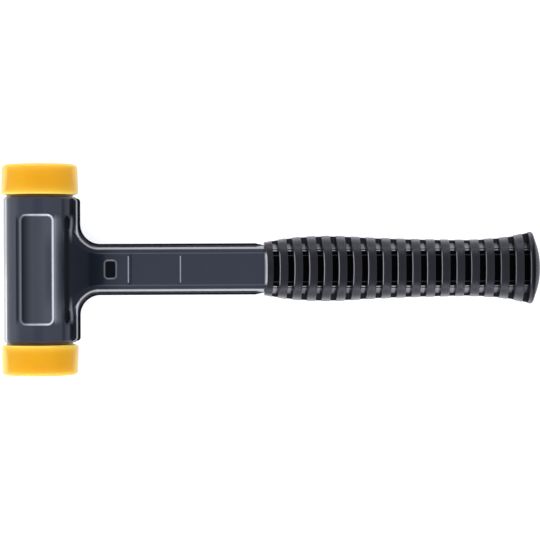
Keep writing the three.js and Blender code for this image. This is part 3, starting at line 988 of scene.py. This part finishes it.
def quarter_sections(half_width, thickness, power):
    """One quarter of the grip's section, from the side to the top, at every half width and thickness.
    Returns the outline of a rib, where (y/width)^power + (z/thickness)^power = 1, and the bottom of a groove
    as matching points (y, z)."""
    lip = pocket_floor + lip_height
    web = lip - bevel_drop
    bevel_end = pocket_half_width + bevel_width
    web_y = half_width - web_depth
    side = np.linspace(0, 1, 6)[:-1] * web
    shelf = np.linspace(0, 1, 4)[:-1]
    bevel = np.linspace(0, 1, 7)
    ridge = np.linspace(0, 1, 3)
    floor = floor_shares * pocket_half_width
    sunk = np.where(floor < pocket_step_half_width, pocket_step, 0)
    ridge_y = pocket_half_width + lip_width * (1 - ridge)
    ridge_z = lip - lip_fall * (1 - ridge)
    bevel_top = lip - lip_fall - lip_step
    gap_y = pocket_half_width + lip_width + lip_gap * np.array([1 - gap_slope, gap_slope])
    gap_z = np.full(2, bevel_top - lip_gap_depth)
    bevel_y = bevel_end + (pocket_half_width + lip_width + lip_gap - bevel_end) * bevel
    bevel_z = web + (bevel_top - web) * bevel

    def spread(values):
        """Values for one section, repeated for every section."""
        return np.broadcast_to(values, (*half_width.shape[:1], len(values)))

    core_y = np.concatenate([
        web_y + 0 * side, web_y + (bevel_end - web_y) * shelf, spread(bevel_y), spread(gap_y),
        spread(ridge_y), spread(floor)], axis=1)
    core_z = np.concatenate([
        spread(side), spread(0 * shelf + web), spread(bevel_z), spread(gap_z),
        spread(ridge_z), spread(pocket_floor - sunk)], axis=1)
    side_y = half_width * (1 - (side / thickness) ** power) ** (1 / power)
    shelf_start = half_width * (1 - (web / thickness) ** power) ** (1 / power)
    shelf_y = shelf_start + ((1 - rib_lean) * bevel_end - shelf_start) * shelf
    rib_y = np.concatenate([
        side_y, shelf_y, spread((1 - rib_lean) * bevel_y + rib_lean * pocket_half_width),
        spread(gap_y), spread(ridge_y), spread(floor)], axis=1)
    rib_z = thickness * np.maximum(1 - (rib_y / half_width) ** power, 0) ** (1 / power)
    out = ((core_y / half_width) ** power + (core_z / thickness) ** power) ** (1 / power)
    held = np.minimum(1, groove_share / out)
    return np.stack([rib_y, rib_z], axis=-1), np.stack([core_y, core_z], axis=-1) * held[..., None]


def all_round(quarter):
    """A full section from its first quarter: mirrored to the other side and then to the far side."""
    over = quarter[:, -2::-1] * np.array([-1, 1])
    upper = np.concatenate([quarter, over], axis=1)
    under = upper[:, -2:0:-1] * np.array([1, -1])
    return np.concatenate([upper, under], axis=1)


def rib_lines():
    """Places along the grip, and at each how far the rib is bevelled off, whether it lies in a groove,
    whether a highlight is painted for light falling on the groove's bottom there, and whether it is the edge
    of a rib towards the head, which gets a painted highlight."""
    edge_place = rib_chamfer * np.array([-1, -0.5, 0])
    edge_drop = rib_chamfer_drop * np.array([0, 0.5, 1])
    half = groove_width / 2
    bottom = half - groove_draft
    bottom_places = bottom * np.array([-1, shade_start, shade_full, 1])
    lead = np.linspace(0.25, 0.75, 3) * (groove_pitch - groove_width)
    into = np.concatenate([edge_place - half, bottom_places, half - edge_place[::-1], half + lead])
    drop = np.concatenate([edge_drop, np.zeros_like(bottom_places), edge_drop[::-1], np.zeros_like(lead)])
    order = np.arange(len(into))
    groove_from = len(edge_place)
    groove_to = groove_from + len(bottom_places)
    in_groove = (order >= groove_from) * (order < groove_to)
    lit = in_groove * (order < groove_from + 2)
    rib_edge_lit = order == groove_to + 1
    middles = first_groove + groove_pitch * np.arange(groove_count)
    places = (middles[:, None] + into).ravel()
    return places, *(np.tile(1.0 * share, groove_count) for share in (drop, in_groove, lit, rib_edge_lit))


def hole_quarter(half_width, top):
    """One quarter of the hole for the shank: flat side, the shank's own rounded shoulder and flat top."""
    single = np.array([[side_widths[0]]])
    count = quarter_sections(single, single, 2)[0].shape[1]
    turn = np.linspace(0, np.pi / 2, count - hole_flat_steps - 1)
    shoulder_y = half_width - shoulder_width + shoulder_width * np.cos(turn)
    shoulder_z = sheet + (top - sheet) * np.sin(turn)
    flat_y = np.linspace(half_width - shoulder_width, 0, hole_flat_steps + 1)[1:]
    y = np.concatenate([[half_width], shoulder_y, flat_y])
    z = np.concatenate([[0], shoulder_z, np.full(hole_flat_steps, top)])
    return np.stack([y, z], axis=-1)[None]


def grip_hole():
    """Places and sections of the hole for the shank, from the middle of its bottom to its mouth."""
    side = shank_half_width - shank_flange
    mouth = hole_quarter(side + fit_gap, shank_top + fit_gap)
    tail_hole = hole_quarter(side - tail_step + fit_gap, shank_top - tail_step + fit_gap)
    bottom = tail_end + fit_gap
    step = shank_end + fit_gap
    sections = np.concatenate([0 * tail_hole, tail_hole, tail_hole, mouth, mouth])
    return np.array([bottom, bottom, step, step, grip_front]), sections


def butt_profile(start):
    """Places and half widths of the butt: a rounded corner and then a flat dome."""
    turn = np.linspace(0, np.pi / 2, 8)[1:]
    dome_radius = side_widths[-1] - butt_corner
    corner = np.stack([start + butt_corner * np.sin(turn), dome_radius + butt_corner * np.cos(turn)])
    share = np.linspace(1, 0, 14)[1:]
    cap = np.stack([grip_end - butt_dome * share ** 2, dome_radius * share])
    return np.concatenate([corner, cap], axis=1)


def grip_looks(section, place, up, in_groove, lit, rib_edge_lit):
    """How much painted shade and how much painted highlight the sleeve has at each point, and the painted
    highlight it would have on the front edge. Painted shade, black and matt, lies on the pockets' floors and
    in their gaps, and partly on their steps. Highlights are painted on the ribs' edges towards the head, on
    the pockets' steps and, where light falls into a groove, on its bevels and ridges, less so towards the
    butt. The ribs' sides have a faint painted sheen all along."""
    across = np.abs(section[..., 0])
    gap_start = pocket_half_width + lip_width
    gap_low = gap_start + gap_near * lip_gap
    gap_high = gap_start + gap_far * lip_gap
    on_floor = across < pocket_half_width + pocket_margin
    on_floor = on_floor * (np.abs(section[..., 1]) < pocket_floor + pocket_margin)
    on_step = in_groove * (np.abs(across - pocket_step_half_width) < step_reach)
    in_gap = (across > gap_low) * (across < gap_high)
    sunk = np.maximum(np.where(on_step > 0, step_matt_shade, in_groove * on_floor), in_groove * in_gap)

    bevel = (across > gap_high) * (across < pocket_half_width + bevel_width)
    ridge = (across > pocket_half_width + ridge_start * lip_width) * (across < gap_low)
    shine = lit * (bevel_shine * bevel + ridge_shine * ridge) + step_shine * on_step
    rib_edge_light = rib_edge_highlight * rib_edge_lit * ease((gap_start - across) / rib_edge_highlight_fade)
    fade = 1 - shine_loss * ease((place - shine_fades_from) / shine_fade)
    edge = fade * (rib_edge_light + shine) + side_sheen * (1 - in_groove) * (1 - up) ** 2
    front = front_shine * ease((gap_start - across) / front_shine_fade)
    return sunk, edge, front


def grip_grid():
    """The sleeve as sections along its length, from the bottom of its hole out over the front, along the
    ribs and grooves and over the butt. The front bows towards the butt at the top and bottom, and the ribs
    towards the head at the sides."""
    places, *rib_shares = rib_lines()
    butt_start = grip_end - butt_dome - butt_corner
    keep = places < butt_start
    front_x = grip_front + np.array(front_places)
    x = np.concatenate([front_x, places[keep], [butt_start]])
    drop, in_groove, lit, rib_edge_lit = (
        np.concatenate([np.zeros(len(front_x)), share[keep], [0]]) for share in rib_shares)
    half_width = grip_half_width(x)[:, None]
    thickness = grip_half_thickness(x)[:, None]
    rib, core = quarter_sections(half_width, thickness, grip_power(x)[:, None])
    rib_up = (rib[..., 1] / thickness) ** 2
    bevelled = drop[:, None] * (side_bevel_share + (1 - side_bevel_share) * rib_up)
    rib = rib * (1 - bevelled / half_width)[..., None]
    outside = np.where(in_groove[:, None, None] > 0, core, rib)
    butt_x, butt_half_width = butt_profile(butt_start)
    butt_section = rib[-1] * (butt_half_width / side_widths[-1])[:, None, None]

    front_round = np.linspace(0, np.pi / 2, 7)[:-1]
    round_x = grip_front + front_edge * (1 - np.cos(front_round))
    round_section = rib[0] * (1 - front_edge * (1 - np.sin(front_round)) / side_widths[0])[:, None, None]
    hole_x, hole = grip_hole()
    section = all_round(np.concatenate([hole, round_section, outside, butt_section]))
    place = np.concatenate([hole_x, round_x, x, butt_x])[:, None]
    up = np.minimum((section[..., 1] / grip_half_thickness(place)) ** 2, 1)
    past_front = np.clip((place - grip_front) / front_bow_reach, 0, 1)
    bow_left = ease((bow_end - place) / (bow_end - bow_fades_from))
    forward = front_bow * (1 - past_front) * up
    forward[:len(hole_x)] *= mouth_bow_share
    bowed = place + forward - rib_bow * past_front * bow_left * (1 - up)
    bowed[:len(hole_x) - 1] = place[:len(hole_x) - 1]
    points = np.stack([bowed + head_x, section[..., 0], section[..., 1] + seam_z], axis=-1)

    rib_rows = (
        np.pad(share, (len(hole_x) + len(round_x), len(butt_x)))[:, None] for share in (in_groove, lit, rib_edge_lit))
    sunk, edge, front = grip_looks(section, place, up, *rib_rows)
    butt_rows = slice(-len(butt_x), None)
    # Painted shade on the butt, more where it faces up or down than at its sides.
    sunk[butt_rows] = butt_side_matt_shade + (butt_matt_shade - butt_side_matt_shade) * up[butt_rows]
    front_rows = slice(len(hole_x), len(hole_x) + len(round_x))
    # Painted highlight on the front edge.
    edge[front_rows] = front[front_rows]
    return points, {"sunk": sunk.ravel(), "edge": edge.ravel()}


def rubber_finish():
    """Matt black rubber with the fine grain of its mould and a slight bloom of grey."""
    finish = Finish(bpy.data.materials.new("black_rubber_grain"))
    where = finish.place()
    bloom = finish.noise(where, 90.0, 4.0)
    grain = finish.noise(where, 2600.0, 2.0, 0.6)
    bump = finish.add("Bump", sockets={"Strength": 0.22, "Distance": 0.0002, "Height": grain})
    sunk = finish.share("sunk")
    edge = finish.share("edge")
    shade = 0.5 * bloom + 0.5 * grain
    skin = finish.tint(shade, (0.004, 0.0038, 0.0045), (0.010, 0.0095, 0.011))
    # Painted highlight: pale grey where the mesh carries its share of painted highlight.
    rubber = finish.add("BsdfPrincipled", sockets={
        "Base Color": finish.tint(edge, skin, (0.50, 0.45, 0.46)),
        "Roughness": 0.27 + 0.1 * bloom,
        "IOR": 1.52,
        "Specular IOR Level": 0.22,
        "Normal": bump,
    })
    # Painted shade: near-black matt rubber where the mesh carries its share of painted shade.
    dark = finish.tint(grain, (0.001, 0.001, 0.001), (0.004, 0.004, 0.005))
    painted_shade_black = finish.add("BsdfDiffuse", sockets={"Color": dark})
    surface = finish.add("MixShader", sockets={0: sunk, 1: rubber, 2: painted_shade_black})
    finish.add("OutputMaterial", sockets={"Surface": surface})
    return finish.owner


grip_points, grip_shares = grip_grid()
grip = make_piece("ribbed_grip", [(grip_points, False, True)], rubber_finish(), 35, grip_shares)
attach(grip, "housing")
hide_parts("grip_sleeve")


# Floor and backdrop
# A plain white sheet lies under the hammer and takes its shadow. Mirrors see it dim up to the butt, with a
# bright field along the handle's line and a narrow bright strip before the head.
floor_half = 3.0
paper_grey = 0.6
camera_glow = 0.66
through_glow = 0.5
plain_glow = 0.8
handle_loss = 0.55
field_glow = 1.15
strip_glow = 4.5
field_full_half = 30 * mm
field_half = 110 * mm
upper_loss = 0.35
upper_fade = 10 * mm
butt_range = (150 * mm, 180 * mm)
head_range = (head_x - 120 * mm, head_x - 30 * mm)
strip_start = (head_x - 82 * mm, head_x - 70 * mm)
strip_end = (head_x - 61 * mm, head_x - 55 * mm)


def flat_sheet(name, corners, material):
    """A flat sheet between four corners."""
    mesh = bpy.data.meshes.new(name)
    mesh.from_pydata(corners, [], [(0, 1, 2, 3)])
    mesh.materials.append(material)
    flat = bpy.data.objects.new(name, mesh)
    bpy.context.scene.collection.objects.link(flat)
    return flat


white_sheet = Finish(bpy.data.materials.new("white_sheet"))
seen, mirrored, through = (
    white_sheet.add("LightPath", output=kind)
    for kind in ("Is Camera Ray", "Is Glossy Ray", "Is Transmission Ray"))
floor_x, floor_y, _ = white_sheet.axes(white_sheet.place())
upper_less = 1 - upper_loss * white_sheet.rise(floor_y, -upper_fade, upper_fade)
field = (1 - white_sheet.rise(floor_y * floor_y, field_full_half ** 2, field_half ** 2)) * upper_less
before_butt = 1 - white_sheet.rise(floor_x, *butt_range)
past_head = white_sheet.rise(floor_x, *head_range)
strip = field * (white_sheet.rise(floor_x, *strip_start) - white_sheet.rise(floor_x, *strip_end))
mirrored_glow = plain_glow - handle_loss * before_butt + strip_glow * strip
mirrored_glow = mirrored_glow + field_glow * field * before_butt * past_head
glow = camera_glow * seen + mirrored_glow * mirrored + through_glow * through
paper = white_sheet.add("BsdfDiffuse", sockets={"Color": (paper_grey, paper_grey, paper_grey, 1)})
light = white_sheet.add("Emission", sockets={"Color": white_sheet.scaled((0.98, 0.97, 1), glow)})
both = white_sheet.add("AddShader", sockets={0: paper, 1: light})
white_sheet.add("OutputMaterial", sockets={"Surface": both})
floor_corners = [(x * floor_half, y * floor_half, 0) for x, y in ((-1, -1), (1, -1), (1, 1), (-1, 1))]
floor = flat_sheet("floor_sheet", floor_corners, white_sheet.owner)


# Black flags
# Black cloths that only mirrors see: two cards hang beside the neck and keep the white floor out of the
# barrel's flank, and a leaning gauze over the shank darkens the arc of the neck.
flag_x = head_x + 33 * mm
flag_start = 26 * mm
flag_end = 47 * mm
flag_low = 20 * mm
flag_full_to = 30 * mm
flag_thin_from = 33 * mm
flag_high = 46 * mm
flag_loss = 0.4
neck_flag_x = head_x + 60 * mm
neck_flag_lean = 14 * mm
neck_flag_half = 30 * mm
neck_flag_full_half = 8 * mm
neck_flag_low = seam_z + 22 * mm
neck_flag_fades_from = seam_z + 40 * mm
neck_flag_high = seam_z + 200 * mm
weave_scale = 800.0


def black_cloth(name, thickness):
    """Black cloth that lets light through where it is sheer. thickness takes the finish and the wires y and
    z of a place, and gives a share from 0 to 1."""
    finish = Finish(bpy.data.materials.new(name))
    where = finish.place()
    weave = finish.noise(where, weave_scale)
    black = finish.tint(weave, (0.002, 0.002, 0.002), (0.004, 0.004, 0.004))
    cloth = finish.add("BsdfDiffuse", sockets={"Color": black})
    clear = finish.add("BsdfTransparent")
    _, y, z = finish.axes(where)
    surface = finish.add("MixShader", sockets={0: thickness(finish, y, z), 1: clear, 2: cloth})
    finish.add("OutputMaterial", sockets={"Surface": surface})
    return finish.owner


def card_thickness(finish, _, z):
    """Full low down and less in the upper part."""
    return 1 - flag_loss * finish.rise(z, flag_full_to, flag_thin_from)


def gauze_thickness(finish, y, z):
    """Full low down in the middle, fading to nothing at the top and at both sides."""
    low = 1 - finish.rise(z, neck_flag_fades_from, neck_flag_high)
    middle = 1 - finish.rise(y * y, neck_flag_full_half ** 2, neck_flag_half ** 2)
    return low * middle


def black_flag(name, corners, material):
    """A flat black flag between four corners, seen by mirrors alone."""
    flag = flat_sheet(name, corners, material)
    flag.visible_camera = False
    flag.visible_diffuse = False
    flag.visible_shadow = False


black_card = black_cloth("black_card", card_thickness)
for flag_name, flag_side in (("upper_flag", 1), ("lower_flag", -1)):
    flag_corners = [
        (flag_x, flag_side * flag_start, flag_low), (flag_x, flag_side * flag_end, flag_low),
        (flag_x, flag_side * flag_end, flag_high), (flag_x, flag_side * flag_start, flag_high)]
    black_flag(flag_name, flag_corners, black_card)

neck_flag_corners = [
    (neck_flag_x, -neck_flag_half, neck_flag_low), (neck_flag_x, neck_flag_half, neck_flag_low),
    (neck_flag_x - neck_flag_lean, neck_flag_half, neck_flag_high),
    (neck_flag_x - neck_flag_lean, -neck_flag_half, neck_flag_high)]
black_flag("neck_flag", neck_flag_corners, black_cloth("black_gauze", gauze_thickness))


# Lights
# Large soft lamps light the colours. Mirrors don't see them: they see the dome, the floor and the flags.
dome_glow = 0.7
off_top_glow = 0.22
side_card_glow = 0.35
head_strip_glow = 0.5
upper_strip_glow = 5.0
lower_strip_glow = 8.0
off_top_range = (0.01, 0.12)
side_card_start = (0.015, 0.05)
side_card_end = (0.09, 0.25)
head_strip_range = (0.85, 1.0)
long_strip_start = (0.86, 0.93)
long_strip_end = (0.89, 0.94)


def softbox(name, place, aim, size, brightness):
    """A square area lamp that looks from a place to an aim, as bright per area as a white sheet times
    brightness."""
    lamp = bpy.data.lights.new(name, "AREA")
    lamp.shape = "RECTANGLE"
    lamp.size = size
    lamp.size_y = size
    lamp.energy = 4 * size * size * brightness
    holder = bpy.data.objects.new(name, lamp)
    bpy.context.scene.collection.objects.link(holder)
    away = np.array(place) - np.array(aim)
    level = math.hypot(away[0], away[1])
    holder.rotation_euler = (math.atan2(level, away[2]), 0, math.atan2(away[1], away[0]) + math.pi / 2)
    holder.location = place
    holder.visible_camera = False
    holder.visible_glossy = False


softbox("left_softbox", place=(-1.0, 0.1, 1.1), aim=(head_x, 0, seam_z), size=0.9, brightness=1.9)
softbox("top_softbox", place=(0.4, -0.3, 1.6), aim=(0, 0, seam_z), size=1.2, brightness=1.25)

dome = Finish(bpy.data.worlds.new("studio_dome"))
bpy.context.scene.world = dome.owner
along, across, _ = dome.axes(dome.add("TexCoord", output="Generated"))
tilt = across * across
head_strip = dome.rise(-1 * along, *head_strip_range)
off_top = dome.rise(along * along, *off_top_range)
side_cards = dome.rise(tilt, *side_card_start) - dome.rise(tilt, *side_card_end)
off_horizon = 1 - dome.rise(tilt, *long_strip_end)
upper_strip = dome.rise(across, *long_strip_start) * off_horizon
lower_strip = dome.rise(-1 * across, *long_strip_start) * off_horizon
strips = head_strip_glow * head_strip + upper_strip_glow * upper_strip + lower_strip_glow * lower_strip
brightness = dome_glow + off_top_glow * off_top + side_card_glow * side_cards + strips
sky_seen = dome.add("LightPath", output="Is Camera Ray")
sky_colour = dome.tint(sky_seen, dome.scaled((0.86, 0.93, 1.1), brightness), (1, 1, 1))
sky = dome.add("Background", sockets={"Color": sky_colour})
dome.add("OutputWorld", sockets={"Surface": sky})


# Camera
# It looks straight down on the hammer lying on its side, as the photograph does.
camera_height = 1430 * mm
view_width = 352.2 * mm
view_middle = (-0.48 * mm, -0.8 * mm)
view_turn = math.radians(-0.25)
camera_data = bpy.data.cameras.new("overhead_camera")
camera_data.sensor_width = 36
camera_data.lens = camera_data.sensor_width * camera_height / view_width
camera_data.clip_start = 0.01
camera_data.clip_end = 20
camera = bpy.data.objects.new("overhead_camera", camera_data)
camera.location = (view_middle[0], view_middle[1], seam_z + camera_height)
camera.rotation_euler = (0, 0, view_turn)
bpy.context.scene.collection.objects.link(camera)
bpy.context.scene.camera = camera
bpy.context.scene.view_settings.view_transform = "Standard"
